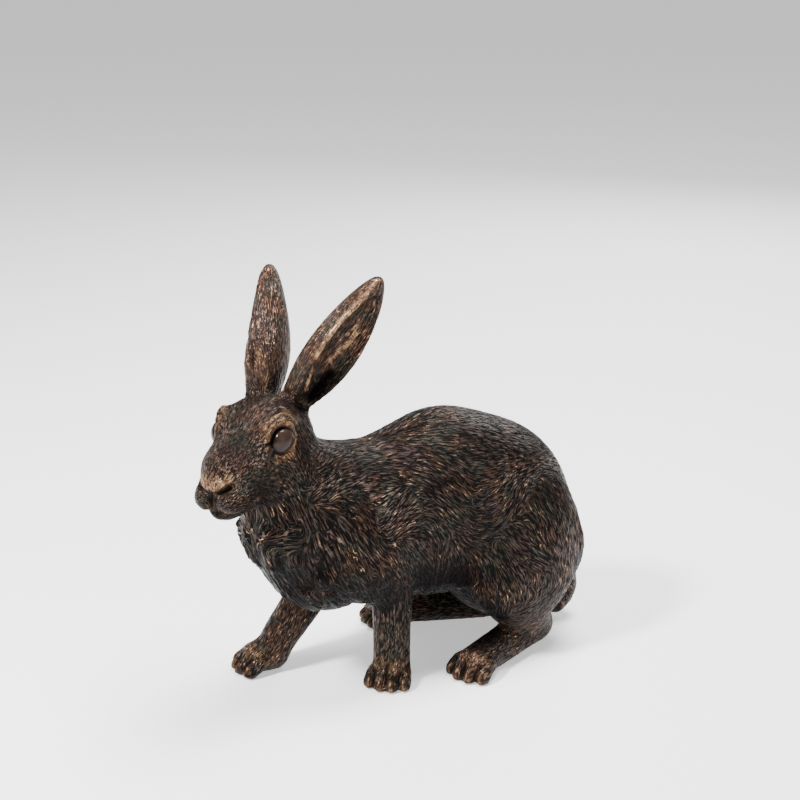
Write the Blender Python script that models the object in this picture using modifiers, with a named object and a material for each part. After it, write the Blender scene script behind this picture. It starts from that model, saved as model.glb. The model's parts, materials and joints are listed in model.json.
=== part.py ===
"""An alert rabbit, cast in bronze as one piece and standing on its four feet.

The figure is built as a sculptor builds it: rounded masses are added to or cut from each other,
with a soft join between them. Blender beads rough the masses out and fuse them by a voxel remesh,
and the skin is then drawn onto the masses' true surface. +Z is up, the body's axis lies along Y
with the nose towards -Y, and +X is the rabbit's own left. The origin is on the ground, under the
middle of the figure's extent.
"""

import math

import bmesh
import bpy
import numpy as np
from mathutils import Euler, Matrix, Vector

# Driving dimensions, in metres
STATUE_HEIGHT = 0.283  # ground to the tip of the higher ear
SOLE_HEIGHT = 0.0  # the ground, on which all four feet stand flat

# The masses below are given in equal shares of the height
SHARES_PER_HEIGHT = 283
SHARE = STATUE_HEIGHT / SHARES_PER_HEIGHT

# Main sizes of the figure, in shares of the height
SHOULDER_Y = 4
CHEST_TO_RUMP = 110  # along the body, from the mass of the shoulders to that of the rump
RUMP_Y = SHOULDER_Y + CHEST_TO_RUMP
RUMP_HALF_WIDTH = 51.5
EAR_LENGTH = 100

# How finely the skin is worked, in shares
THINNEST_BEAD = 3.0
ROUGH_VOXEL = 3.5
MIDDLE_VOXEL = 2.6
FINE_VOXEL = 2.0
SKIN_TRIANGLES = 9600
SOLE_MARGIN = 0.4

BRONZE_BROWN = (0.085, 0.058, 0.045, 1.0)


class Ball:
    """An ellipsoid with its own centre, three radii and turn in degrees."""

    def __init__(self, centre, radii, turn=(0, 0, 0)):
        self.centre = np.array(centre, float)
        self.radii = np.array(radii, float)
        self.turn = np.array(Euler([math.radians(a) for a in turn]).to_matrix())

    def placed(self, frame):
        """The same ball, carried from a local frame into the figure's."""
        moved = Ball(self.centre, self.radii)
        turn = np.array(frame.to_3x3())
        moved.centre = turn @ self.centre + np.array(frame.translation)
        moved.turn = turn @ self.turn
        return moved

    def distance(self, points):
        local = (points - self.centre) @ self.turn
        near = np.linalg.norm(local / self.radii, axis=1)
        slope = np.linalg.norm(local / self.radii**2, axis=1)
        return near * (near - 1) / np.maximum(slope, 1e-9)

    def reach(self):
        return self.centre, self.radii.max()

    def thinnest(self):
        return self.radii.min()

    def beads(self):
        frame = Matrix(self.turn).to_4x4()
        frame.translation = Vector(self.centre)
        return [frame @ Matrix.Diagonal((*self.radii, 1.0))]


class Limb:
    """A chain of round tapering pieces through the given joints, each with its own radius."""

    def __init__(self, *joints):
        self.joints = [(np.array(joint[:3], float), float(joint[3])) for joint in joints]

    def placed(self, frame):
        moved = Limb()
        for centre, radius in self.joints:
            moved.joints.append((np.array(frame @ Vector(centre)), radius))
        return moved

    def distance(self, points):
        found = np.full(len(points), np.inf)
        for (start, start_radius), (end, end_radius) in zip(self.joints, self.joints[1:]):
            along = end - start
            share = np.clip((points - start) @ along / (along @ along), 0, 1)
            off_axis = points - start - share[:, None] * along
            radius = start_radius + share * (end_radius - start_radius)
            found = np.minimum(found, np.linalg.norm(off_axis, axis=1) - radius)
        return found

    def reach(self):
        centres = np.array([centre for centre, _ in self.joints])
        middle = (centres.min(0) + centres.max(0)) / 2
        spans = [np.linalg.norm(centre - middle) + radius for centre, radius in self.joints]
        return middle, max(spans)

    def thinnest(self):
        return min(radius for _, radius in self.joints)

    def beads(self):
        placed = []
        for (start, start_radius), (end, end_radius) in zip(self.joints, self.joints[1:]):
            step = min(start_radius, end_radius) * 0.7
            count = max(2, math.ceil(np.linalg.norm(end - start) / step))
            for index in range(count + 1):
                share = index / count
                radius = start_radius + share * (end_radius - start_radius)
                centre = start + share * (end - start)
                placed.append(Matrix.Translation(Vector(centre)) @ Matrix.Scale(radius, 4))
        return placed


def soft_least(first, second, softness):
    """The smaller of two distances, rounded where they are nearly equal."""
    overlap = np.maximum(softness - np.abs(first - second), 0) / softness
    return np.minimum(first, second) - overlap**2 * softness / 4


class Figure:
    """The masses in the order that they are worked, each added or cut with its own softness."""

    def __init__(self):
        self.steps = []

    def add(self, softness, *forms):
        for form in forms:
            self.steps.append((form, softness, False))

    def cut(self, softness, *forms):
        for form in forms:
            self.steps.append((form, softness, True))

    def distance(self, points):
        found = np.full(len(points), 1e3)
        for form, softness, is_cut in self.steps:
            middle, span = form.reach()
            near = np.linalg.norm(points - middle, axis=1) < span + 2 * softness + 12
            if not near.any():
                continue
            own = form.distance(points[near])
            if is_cut:
                found[near] = -soft_least(-found[near], own, softness)
            else:
                found[near] = soft_least(found[near], own, softness)
        return np.maximum(found, SOLE_HEIGHT - points[:, 2])

    def skin_points(self, starts, directions, reach=110):
        """Where lines from inside points, in the given directions, leave the figure."""
        starts = np.array(starts, float)
        directions = np.array(directions, float)
        directions /= np.linalg.norm(directions, axis=1)[:, None]
        inner = np.zeros(len(starts))
        outer = np.full(len(starts), float(reach))
        for _ in range(5):
            # The first crossing lies in the nearest stretch whose end is outside
            steps = inner[:, None] + (outer - inner)[:, None] * np.linspace(0, 1, 12)
            tested = starts[:, None] + steps[..., None] * directions[:, None]
            outside = self.distance(tested.reshape(-1, 3)).reshape(steps.shape) > 0
            outside[:, -1] = True
            first = np.maximum(outside.argmax(axis=1), 1)
            rows = np.arange(len(starts))
            inner, outer = steps[rows, first - 1], steps[rows, first]
        return starts + ((inner + outer) / 2)[:, None] * directions

    def slope(self, points, step=0.25):
        """The distance and its gradient, from four samples on a tetrahedron."""
        corners = np.array([(1, 1, 1), (1, -1, -1), (-1, 1, -1), (-1, -1, 1)], float)
        samples = [self.distance(points + step * corner) for corner in corners]
        gradient = sum(s[:, None] * corner for s, corner in zip(samples, corners)) / (4 * step)
        return sum(samples) / 4, gradient


def both_sides(*forms):
    """The forms and their mirror images across the local YZ plane."""
    mirrored = []
    for form in forms:
        if isinstance(form, Ball):
            twin = Ball(form.centre * (-1, 1, 1), form.radii)
            flip = np.diag((-1.0, 1.0, 1.0))
            twin.turn = flip @ form.turn @ flip
        else:
            twin = Limb(*[(-x, y, z, radius) for (x, y, z), radius in form.joints])
        mirrored += [form, twin]
    return mirrored


def frame_at(centre, yaw=0, pitch=0, roll=0):
    """A local frame: yaw turns the nose to the rabbit's left, pitch lowers it, in degrees."""
    turn = Euler((math.radians(pitch), math.radians(roll), math.radians(yaw)), "XYZ")
    return Matrix.Translation(Vector(centre)) @ turn.to_matrix().to_4x4()


# Torso: a deep chest in a heavy ruff, an arched back, and a rump that almost sits on the ground

def work_torso(figure):
    middle = SHOULDER_Y + 0.55 * CHEST_TO_RUMP
    figure.add(1, Ball((1, SHOULDER_Y, 114), (44, 58, 50.5)))
    figure.add(24, Ball((0, middle, 124), (RUMP_HALF_WIDTH - 3, 60, 56)))
    figure.add(24, Ball((0, RUMP_Y - 1, 89), (RUMP_HALF_WIDTH, 53, 71)))
    figure.add(16, Ball((4, -53, 120), (33, 33, 34)))
    figure.add(16, Ball((1, -32, 93), (34, 36, 38)))
    figure.add(18, Ball((0, middle - 9, 86), (RUMP_HALF_WIDTH - 13, 58, 35)))
    figure.add(20, Limb((1, -22, 132, 34), (4, -62, 160, 29)))


def work_haunches(figure):
    side = RUMP_HALF_WIDTH
    thigh = Ball((side - 17, RUMP_Y + 3.5, 72), (22, 43, 52), (-14, 0, 4))
    knee = Ball((side - 9, RUMP_Y - 26, 60), (14, 19, 21), (-20, 0, 0))
    figure.add(9, *both_sides(thigh, knee))
    hock = RUMP_Y + 17
    shank = Limb((side - 11, hock - 30, 42, 15.5), (side - 21, hock - 11, 24, 14), (side - 27, hock, 15, 12))
    figure.add(8, *both_sides(shank))


def work_tail(figure):
    root = RUMP_Y + 42
    tail = Limb((0, root, 60, 12), (0, root + 11, 42, 12), (0, root + 14, 26, 12), (0, root + 9, 13, 10))
    figure.add(8, tail)


# Feet: a padded sole with four toes, each toe a small arched limb

def work_foot(figure, ankle, heading, length, width, toe_radius):
    """A foot from its ankle on the ground, with its toes towards the heading in degrees."""
    frame = frame_at((ankle[0], ankle[1], 0), yaw=heading)
    pad = width * 0.34
    sole = Limb((0, 0, ankle[2], ankle[2] + 2), (0, toe_radius * 3.6 - length, pad - 3, pad))
    figure.add(6, sole.placed(frame))
    for index in range(4):
        side = (index - 1.5) / 1.5
        spread = side * (width / 2 - toe_radius)
        forward = -length + toe_radius + side**2 * toe_radius * 0.9
        heel = (spread * 0.75, forward + toe_radius * 3.2, toe_radius * 1.7, toe_radius)
        knuckle = (spread * 0.92, forward + toe_radius * 1.3, toe_radius * 1.75, toe_radius * 1.08)
        tip = (spread * 1.04, forward, toe_radius * 0.7, toe_radius)
        figure.add(1.4, Limb(heel, knuckle, tip).placed(frame))


def work_legs(figure):
    # Left foreleg, upright
    figure.add(12, Ball((30, -6, 100), (19, 30, 36), (14, 0, 6)))
    figure.add(7, Limb((27, 6, 76, 14), (25, 11, 56, 13.2), (25, 11, 36, 12.8), (25, 11, 16, 12.4)))
    work_foot(figure, (25, 11, 9), 48, 25, 33, 4.8)
    # Right foreleg, reaching forward
    figure.add(12, Ball((-29, -14, 96), (19, 30, 38), (0, 0, -6)))
    figure.add(7, Limb((-28, -12, 70, 17), (-28, -31, 45, 14), (-29, -47, 25, 12.8), (-30, -53, 15, 12)))
    work_foot(figure, (-33, -53, 9), -8, 28.5, 34, 4.9)
    # Hind feet, long and turned outwards
    work_foot(figure, (RUMP_HALF_WIDTH - 30, RUMP_Y + 17, 11), 22, 91, 35, 5.0)
    work_foot(figure, (23 - RUMP_HALF_WIDTH, RUMP_Y + 7, 11), -22, 94, 35, 5.0)


# Head: worked in its own frame, with the nose towards -Y, and then turned to the left

HEAD_FRAME = frame_at((4, -74.6, 181.6), yaw=33.6, pitch=3.2, roll=-2.7)


def work_head(figure):
    def add(softness, *forms):
        figure.add(softness, *[form.placed(HEAD_FRAME) for form in forms])

    def cut(softness, *forms):
        figure.cut(softness, *[form.placed(HEAD_FRAME) for form in forms])

    add(12, Ball((0, 9, 3), (24, 28, 22)))
    add(8, *both_sides(Ball((14, -6, 5), (10, 17, 14))))
    add(7, *both_sides(Ball((11, -3, 10), (11, 17, 11))))
    add(10, Ball((0, -24, -3), (16, 35, 18)))
    add(8, *both_sides(Ball((9, -26, -5), (11, 22, 13))))
    add(9, *both_sides(Ball((15, 2, -17), (13, 23, 17))))
    # Back of the head, and the swell of the forehead in front of each ear
    add(8, *both_sides(Ball((12, 18.5, 1), (13, 15.5, 20))))
    add(6, *both_sides(Ball((13, 6, 10.5), (10, 14, 14.5))))
    add(8, *both_sides(Ball((8, -22, -19), (11, 27, 13))))
    add(5, *both_sides(Ball((8.5, -46, -18), (10, 14, 10.5))))
    add(5, Ball((0, -40, -29), (10, 16, 6)))
    add(4, Ball((0, -53, -8), (9.5, 7, 7)))
    # Brows arch over the eyes, and the eyes stand out of shallow sockets
    brow = Limb((17, -17, 13, 3.4), (21, -11, 18, 4), (22.5, -3, 19.5, 4), (22, 6, 15.5, 3.4))
    add(4, *both_sides(brow))
    cut(2.5, *both_sides(Ball((29.5, -9, 7.5), (8, 11.5, 11))))
    add(1.0, *both_sides(Ball((20, -4.5, 7.4), (9.7, 9.7, 9.9))))
    # Nostrils, the split lip and the mouth
    nostril = Limb((2.5, -61.5, -13, 1.8), (6, -60, -10, 2), (11, -55, -8, 1.8))
    cut(2, *both_sides(nostril))
    cut(2, Limb((0, -62, -13, 1.6), (0, -61.5, -24, 1.8)))
    mouth = Limb((0, -60, -26.5, 1.9), (8, -56, -28, 1.9), (15, -46, -29, 1.9), (18, -36, -29, 1.6))
    cut(2, *both_sides(mouth))


class Leaf:
    """A long pointed body along local Z, which bows towards local -Y.

    The profile gives the squared half-width at shares of the length, as a smooth curve through
    its values.
    """

    SHARES = (-0.10, 0.00, 0.18, 0.38, 0.60, 0.80, 1.00, 1.08)

    def __init__(self, frame, length, half_width, half_depth, bow, profile):
        self.turn = np.array(frame.to_3x3())
        self.base = np.array(frame.translation)
        self.length = length
        self.half_width = half_width
        self.half_depth = half_depth
        self.bow = bow
        self.curve = np.polyfit(self.SHARES, profile, 5)
        self.slope = np.polyder(self.curve)

    def bowed(self, share):
        return -4 * self.bow * share * (1 - share)

    def distance(self, points):
        local = (points - self.base) @ self.turn
        share = np.clip(local[:, 2] / self.length, -0.1, 1.08)
        beyond = local[:, 2] / self.length - share
        across = local[:, 0] / self.half_width
        deep = (local[:, 1] - self.bowed(share)) / self.half_depth
        level = across**2 + deep**2 - np.polyval(self.curve, share) + 20 * beyond**2
        rise = np.polyval(self.slope, share) / self.length
        steep = np.sqrt((2 * across / self.half_width)**2 + (2 * deep / self.half_depth)**2 + rise**2)
        return level / np.maximum(steep, 0.02)

    def reach(self):
        return self.base + self.turn @ (0, 0, self.length / 2), self.length * 0.62

    def thinnest(self):
        return self.half_depth

    def beads(self):
        placed = []
        for index in range(18):
            share = (index + 0.5) / 18
            width = math.sqrt(max(np.polyval(self.curve, share), 0.02))
            centre = self.base + self.turn @ (0, self.bowed(share), share * self.length)
            frame = Matrix(self.turn).to_4x4()
            frame.translation = Vector(centre)
            size = (self.half_width * width, self.half_depth * width, self.length * 0.06)
            placed.append(frame @ Matrix.Diagonal((*size, 1.0)))
        return placed


EAR_HALF_WIDTH = 19
EAR_HALF_DEPTH = 15.5
EAR_WALL = 4.4
EAR_FLOOR = 4.0  # how far the hollow reaches past the ear's own axis
LEFT_EAR_PROFILE = (0.20, 0.22, 0.52, 0.98, 0.84, 0.40, 0.00, -0.25)
RIGHT_EAR_PROFILE = (0.24, 0.32, 0.84, 1.14, 0.84, 0.42, 0.00, -0.25)


def work_ear(figure, base, tip, opening, bow, profile):
    """A long leaf-shaped ear from its base to its tip, hollowed on the side that it opens to."""
    along = (tip - base).normalized()
    across = along.cross(opening).normalized()
    outward = across.cross(along).normalized()
    frame = Matrix((across, outward, along)).transposed().to_4x4()
    frame.translation = base
    length = (tip - base).length
    figure.add(7, Leaf(frame, length, EAR_HALF_WIDTH, EAR_HALF_DEPTH, bow, profile))
    depth = 0.84 * EAR_HALF_DEPTH
    hollow_frame = frame @ Matrix.Translation((0, depth - EAR_FLOOR, 0.1 * length))
    hollow = Leaf(hollow_frame, 0.8 * length, EAR_HALF_WIDTH - EAR_WALL, depth, bow, profile)
    figure.cut(3, hollow)


def work_ears(figure):
    turn = HEAD_FRAME.to_3x3()
    left_base = Vector((7.8, 23.7, 14))
    left_tip = left_base + EAR_LENGTH * Vector((0.50, 0.53, 0.795))
    left_opening = turn @ Vector((0.95, -0.32, 0))
    work_ear(figure, HEAD_FRAME @ left_base, HEAD_FRAME @ left_tip, left_opening, -3.5, LEFT_EAR_PROFILE)
    right_base = Vector((-14.3, 27.3, 14))
    right_tip = right_base + EAR_LENGTH * Vector((-0.127, 0.497, 0.82))
    right_opening = turn @ Vector((-0.95, -0.25, 0))
    work_ear(figure, HEAD_FRAME @ right_base, HEAD_FRAME @ right_tip, right_opening, 1, RIGHT_EAR_PROFILE)


# Coat: heavy locks in the ruff, a fringe under the belly, and tufts at the tail and haunches

def add_locks(figure, roots, tips, radius, lift):
    """Locks of fur on the skin, which swell from their roots and end in thin lifted points.

    Roots and tips are given as pairs of a point inside the body and a direction out of it.
    """
    root_points = figure.skin_points(*zip(*roots))
    tip_points = figure.skin_points(*zip(*tips))
    for root, tip, (_, outward) in zip(root_points, tip_points, tips):
        outward = np.array(outward, float) / np.linalg.norm(outward)
        root = root - outward * radius * 0.6
        tip = tip + outward * lift
        middle = root * 0.45 + tip * 0.55 + outward * radius * 0.1
        joints = ((*root, radius * 0.7), (*middle, radius), (*tip, radius * 0.4))
        figure.add(2.4, Limb(*joints))


def work_ruff(figure):
    """Rows of locks down the neck and chest, each row set between the locks of the one above."""
    rows = ((146, 12), (131, 15), (115, 16), (98, 15), (81, 13), (68, 9))
    for row, (height, count) in enumerate(rows):
        roots = []
        tips = []
        for index in range(count):
            angle = math.radians(-122 + 240 * (index + 0.5 * (row % 2)) / (count - 0.5))
            drop = 17 + 4 * math.sin(2.4 * index + 1.7 * row)
            swept = angle * (1 + 0.05 * drop / 17) + 0.05 * math.sin(3.1 * index)
            middle_y = -34 + 4 * row
            outward = (math.sin(angle), -math.cos(angle), 0)
            roots.append(((3, middle_y, height), outward))
            below = -0.25 if row < 4 else -0.9
            outward = (math.sin(swept), -math.cos(swept), below)
            tips.append(((3, middle_y + 2, height - drop + 8 * (row >= 4)), outward))
        add_locks(figure, roots, tips, 4.4, 0.6)


def work_belly_fringe(figure):
    for side in (-1, 1):
        for row in range(2):
            roots = []
            tips = []
            for index in range(8 - row):
                along = 16 + 0.0745 * CHEST_TO_RUMP * (index + 0.5 * row)
                drop = 20 + 5 * math.sin(1.9 * index + row)
                roots.append(((0, along, 92 - 12 * row), (side, 0, -0.15 - 0.3 * row)))
                tips.append(((0, along + 6, 90 - drop - 12 * row), (side, 0, -0.7)))
            add_locks(figure, roots, tips, 4.2, 2.2)


def work_tufts(figure):
    # Tail
    roots = []
    tips = []
    for index, angle in enumerate((-80, -48, -16, 16, 48, 80)):
        outward = (math.sin(math.radians(angle)), math.cos(math.radians(angle)), 0)
        roots.append(((0, RUMP_Y + 55, 40), outward))
        tips.append(((0, RUMP_Y + 53, 12 + 3 * (index % 2)), outward))
    add_locks(figure, roots, tips, 4.2, 0.6)
    # Back edge of each haunch
    for side in (-1, 1):
        roots = []
        tips = []
        for index in range(6):
            height = 88 - 10 * index
            root = (side * 20, RUMP_Y + 11, height + 8)
            roots.append((root, (side * (0.9 - 0.1 * index), 1, 0)))
            tip = (side * 20, RUMP_Y + 14, height - 12)
            tips.append((tip, (side * (0.8 - 0.1 * index), 1, -0.1)))
        add_locks(figure, roots, tips, 4.0, -0.6)
    # Tuft that hangs between the forelegs
    figure.add(3, Limb((-8, -30, 62, 5), (-9, -30, 54, 4.5), (-10, -27, 48, 1.5)))


def worked_figure():
    figure = Figure()
    work_torso(figure)
    work_haunches(figure)
    work_legs(figure)
    work_tail(figure)
    work_ruff(figure)
    work_belly_fringe(figure)
    work_tufts(figure)
    work_head(figure)
    work_ears(figure)
    return figure


# Skin: rough beads, fused, then drawn onto the figure's true surface

def beaded(name, forms, collection):
    """An object whose mesh holds beads for the given forms, if they are thick enough."""
    beads = bmesh.new()
    for form in forms:
        if form.thinnest() < THINNEST_BEAD:
            continue
        for matrix in form.beads():
            bmesh.ops.create_icosphere(beads, subdivisions=2, radius=1.02, matrix=matrix)
    mesh = bpy.data.meshes.new(name)
    beads.to_mesh(mesh)
    beads.free()
    made = bpy.data.objects.new(name, mesh)
    collection.objects.link(made)
    return made


def baked(body, add_modifier):
    """Adds a modifier, and puts the evaluated result back as the object's own mesh."""
    add_modifier(body)
    graph = bpy.context.evaluated_depsgraph_get()
    mesh = bpy.data.meshes.new_from_object(body.evaluated_get(graph))
    old = body.data
    body.modifiers.clear()
    body.data = mesh
    bpy.data.meshes.remove(old)


def remesh(body, voxel):
    def add(target):
        modifier = target.modifiers.new("fuse", "REMESH")
        modifier.mode = "VOXEL"
        modifier.voxel_size = voxel
        modifier.adaptivity = 0.0

    baked(body, add)


def hollow_out(body, cutter):
    def add(target):
        modifier = target.modifiers.new("hollow", "BOOLEAN")
        modifier.operation = "DIFFERENCE"
        modifier.solver = "EXACT"
        modifier.object = cutter

    baked(body, add)


def thin_out(body, triangles):
    def add(target):
        modifier = target.modifiers.new("thin", "DECIMATE")
        modifier.ratio = min(1.0, triangles / (2 * len(target.data.polygons)))

    baked(body, add)


def draw_onto(body, figure, rounds):
    """Moves every vertex along the figure's slope until it lies on the surface."""
    points = np.empty(len(body.data.vertices) * 3)
    body.data.vertices.foreach_get("co", points)
    points = points.reshape(-1, 3)
    for _ in range(rounds):
        distance, gradient = figure.slope(points)
        steep = np.maximum((gradient**2).sum(1), 0.2)
        move = np.clip(distance / steep, -3, 3)
        points = points - move[:, None] * gradient
    points[:, 2] = np.maximum(points[:, 2], SOLE_HEIGHT)
    body.data.vertices.foreach_set("co", points.ravel())
    body.data.update()


def stand(body):
    """Levels the soles, takes the mesh to metres and centres its extent over the origin."""
    points = np.empty(len(body.data.vertices) * 3)
    body.data.vertices.foreach_get("co", points)
    points = points.reshape(-1, 3)
    points[points[:, 2] < SOLE_HEIGHT + SOLE_MARGIN, 2] = SOLE_HEIGHT
    middle = (points.min(axis=0) + points.max(axis=0)) / 2
    points[:, :2] -= middle[:2]
    body.data.vertices.foreach_set("co", (points * SHARE).ravel())
    body.data.update()


def bronze():
    material = bpy.data.materials.new("patinated_bronze")
    material.use_nodes = True
    shader = material.node_tree.nodes["Principled BSDF"]
    shader.inputs["Base Color"].default_value = BRONZE_BROWN
    shader.inputs["Metallic"].default_value = 0.8
    shader.inputs["Roughness"].default_value = 0.45
    return material


def cast_rabbit(collection, cutters):
    figure = worked_figure()
    added = [form for form, _, is_cut in figure.steps if not is_cut]
    taken = [form for form, _, is_cut in figure.steps if is_cut]
    body = beaded("rabbit", added, collection)
    remesh(body, ROUGH_VOXEL)
    hollows = beaded("hollows", taken, cutters)
    remesh(hollows, ROUGH_VOXEL)
    hollows.hide_render = True
    hollows.display_type = "WIRE"
    hollow_out(body, hollows)
    bpy.data.objects.remove(hollows)
    remesh(body, MIDDLE_VOXEL)
    draw_onto(body, figure, 5)
    remesh(body, FINE_VOXEL)
    draw_onto(body, figure, 4)
    thin_out(body, SKIN_TRIANGLES)
    stand(body)
    body.data.materials.append(bronze())
    body.data.shade_smooth()
    return body


def main():
    for leftover in list(bpy.data.objects):
        bpy.data.objects.remove(leftover)
    collection = bpy.data.collections.new("bronze_rabbit")
    cutters = bpy.data.collections.new("cutters")
    bpy.context.scene.collection.children.link(collection)
    bpy.context.scene.collection.children.link(cutters)
    cast_rabbit(collection, cutters)


main()
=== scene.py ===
import json
import math

import bmesh
import bpy
import numpy as np
from mathutils import Euler, Matrix, Vector
from mathutils.bvhtree import BVHTree
from mathutils.kdtree import KDTree

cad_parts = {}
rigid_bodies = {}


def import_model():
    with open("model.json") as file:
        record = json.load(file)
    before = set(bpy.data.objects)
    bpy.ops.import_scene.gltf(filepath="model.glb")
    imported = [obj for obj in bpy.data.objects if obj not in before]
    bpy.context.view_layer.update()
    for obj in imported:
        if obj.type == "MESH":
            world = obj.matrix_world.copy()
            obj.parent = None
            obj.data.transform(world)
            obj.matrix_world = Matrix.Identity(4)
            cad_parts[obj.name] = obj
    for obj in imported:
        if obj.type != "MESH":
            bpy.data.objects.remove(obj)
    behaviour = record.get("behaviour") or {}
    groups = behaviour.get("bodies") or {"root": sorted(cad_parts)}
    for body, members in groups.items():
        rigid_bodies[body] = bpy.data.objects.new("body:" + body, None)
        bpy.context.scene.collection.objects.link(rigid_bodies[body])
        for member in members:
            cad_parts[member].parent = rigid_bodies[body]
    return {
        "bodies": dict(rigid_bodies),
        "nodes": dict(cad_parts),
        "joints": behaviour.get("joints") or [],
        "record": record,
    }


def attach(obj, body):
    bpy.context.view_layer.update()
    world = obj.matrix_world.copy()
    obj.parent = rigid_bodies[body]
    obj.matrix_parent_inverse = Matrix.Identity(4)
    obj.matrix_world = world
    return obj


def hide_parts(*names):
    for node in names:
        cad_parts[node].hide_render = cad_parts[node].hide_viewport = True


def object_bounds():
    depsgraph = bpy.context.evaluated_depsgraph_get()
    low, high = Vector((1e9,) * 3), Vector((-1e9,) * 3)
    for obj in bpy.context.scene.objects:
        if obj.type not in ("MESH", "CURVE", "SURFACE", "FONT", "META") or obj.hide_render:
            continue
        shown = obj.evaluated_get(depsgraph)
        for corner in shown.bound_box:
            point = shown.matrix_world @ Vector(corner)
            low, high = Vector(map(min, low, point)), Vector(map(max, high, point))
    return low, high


# A rabbit cast in bronze, as it leaves the finishing bench. The casting is the frame's one solid.
# Here its skin is drawn finer, the eyes, lids, nostrils, ears and claws are chased, the coat is
# cut into it stroke by stroke, and it is patinated and rubbed; shade is painted into its hollows,
# the gaps of its coat and its undersides, and some highlights are painted on. Sizes are in
# millimetres and in the figure's own coordinates, unless a name says otherwise.

MM = 0.001
FIGURE_ORIGIN = np.array((3.976, -26.684, 0.0))  # where the figure's own origin stands in the frame

# The skin's fineness, and the places of the head where it is halved, with their reach
SKIN_VOXEL = 0.85
SKIN_TRIANGLES = 196000
MERGE_DISTANCE = 0.01
SMOOTHING_ROUNDS = 7
PUSHED_BACK = 1.04
HALVED_PLACES = (((20, -6, 7), 16), ((-20, -6, 7), 13), ((0, -56, -15), 20))

# The camera. Its picture is a square of 800 pixels, seen through a long lens.
CAMERA_TARGET = np.array((-110.22, 95.58, 150.0)) + FIGURE_ORIGIN
CAMERA_AZIMUTH = 60
CAMERA_ELEVATION = 18
CAMERA_DISTANCE = 1200.0
CAMERA_LENS = 71.28
PICTURE_SIZE = 800
FILM_WIDTH = 36

# Soft lights: place and size in metres, and power in watts
LIGHTS = {
    "key": ((0.1, -1.0, 1.2), 0.3, 50),
    "top": ((0.0, 0.3, 1.5), 0.7, 44),
    "rear": ((-1.0, 1.2, 0.9), 0.8, 16),
    "fill": ((1.6, 0.3, 0.5), 0.8, 3),
}
LIT_PLACE = (0, 0, 0.13)
ROOM_LIGHT = 0.22
FLOOR_HALF_WIDTH = 8
FLOOR_GREY = (0.92, 0.92, 0.92, 1)
FLOOR_GLOW = 0.6

# The head's own frame, with its nose towards -Y
HEAD_CENTRE = (4, -74.6, 181.6)
HEAD_TURN = (3.2, -2.7, 33.6)

# Feet: ankle on the ground, heading in degrees, length, width, toe radius
FEET = (
    ((25, 11), 48, 25, 33, 4.8),
    ((-33, -53), -8, 28.5, 34, 4.9),
    ((21.5, 131), 22, 91, 35, 5.0),
    ((-28.5, 121), -22, 94, 35, 5.0),
)


def turned_frame(centre, degrees):
    turn = Euler([math.radians(angle) for angle in degrees], "XYZ")
    return Matrix.Translation(Vector(centre)) @ turn.to_matrix().to_4x4()


def carried(frame, points):
    """Points of a local frame, in the figure's coordinates."""
    matrix = np.array(frame)
    return np.atleast_2d(points) @ matrix[:3, :3].T + matrix[:3, 3]


def local_to(frame, points):
    return carried(frame.inverted(), points)


def smooth_step(values, low, high):
    share = np.clip((values - low) / (high - low), 0, 1)
    return share * share * (3 - 2 * share)


def between(first, second, share):
    return first + (second - first) * share


HEAD = turned_frame(HEAD_CENTRE, HEAD_TURN)


# Camera, floor and light

def camera_axes():
    azimuth = math.radians(CAMERA_AZIMUTH)
    elevation = math.radians(CAMERA_ELEVATION)
    level = math.cos(elevation)
    back = np.array((math.sin(azimuth) * level, -math.cos(azimuth) * level, math.sin(elevation)))
    right = np.array((math.cos(azimuth), math.sin(azimuth), 0.0))
    return back, right, np.cross(back, right)


def place_camera():
    back, _, _ = camera_axes()
    camera = bpy.data.objects.new("camera", bpy.data.cameras.new("camera"))
    bpy.context.scene.collection.objects.link(camera)
    camera.data.lens = CAMERA_LENS
    camera.data.sensor_width = FILM_WIDTH
    camera.location = (CAMERA_TARGET + back * CAMERA_DISTANCE) * MM
    camera.rotation_mode = "QUATERNION"
    camera.rotation_quaternion = Vector(-back).to_track_quat("-Z", "Y")
    camera.data.clip_start = 0.01
    bpy.context.scene.camera = camera


def soft_light(name, location, size, power):
    light = bpy.data.objects.new(name, bpy.data.lights.new(name, "AREA"))
    bpy.context.scene.collection.objects.link(light)
    light.data.shape = "DISK"
    light.data.size = size
    light.data.energy = power
    light.location = location
    light.rotation_mode = "QUATERNION"
    light.rotation_quaternion = (Vector(LIT_PLACE) - Vector(location)).to_track_quat("-Z", "Y")


def light_the_stage():
    world = bpy.data.worlds.new("studio")
    bpy.context.scene.world = world
    world.use_nodes = True
    world.node_tree.nodes["Background"].inputs["Color"].default_value = (1, 1, 1, 1)
    world.node_tree.nodes["Background"].inputs["Strength"].default_value = ROOM_LIGHT
    for name, (location, size, power) in LIGHTS.items():
        soft_light(name, location, size, power)


def lay_floor():
    mesh = bpy.data.meshes.new("floor")
    sheet = bmesh.new()
    bmesh.ops.create_grid(sheet, x_segments=1, y_segments=1, size=FLOOR_HALF_WIDTH)
    sheet.to_mesh(mesh)
    sheet.free()
    floor = bpy.data.objects.new("floor", mesh)
    bpy.context.scene.collection.objects.link(floor)
    material = bpy.data.materials.new("pale_floor")
    material.use_nodes = True
    shader = material.node_tree.nodes["Principled BSDF"]
    shader.inputs["Base Color"].default_value = FLOOR_GREY
    shader.inputs["Roughness"].default_value = 0.9
    shader.inputs["Emission Color"].default_value = (1, 1, 1, 1)
    shader.inputs["Emission Strength"].default_value = FLOOR_GLOW
    floor.data.materials.append(material)


# Skin: the casting's own surface, smoothed and divided finely enough to be chased

def read_points(mesh):
    points = np.empty(len(mesh.vertices) * 3)
    mesh.vertices.foreach_get("co", points)
    return points.reshape(-1, 3) / MM - FIGURE_ORIGIN


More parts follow.
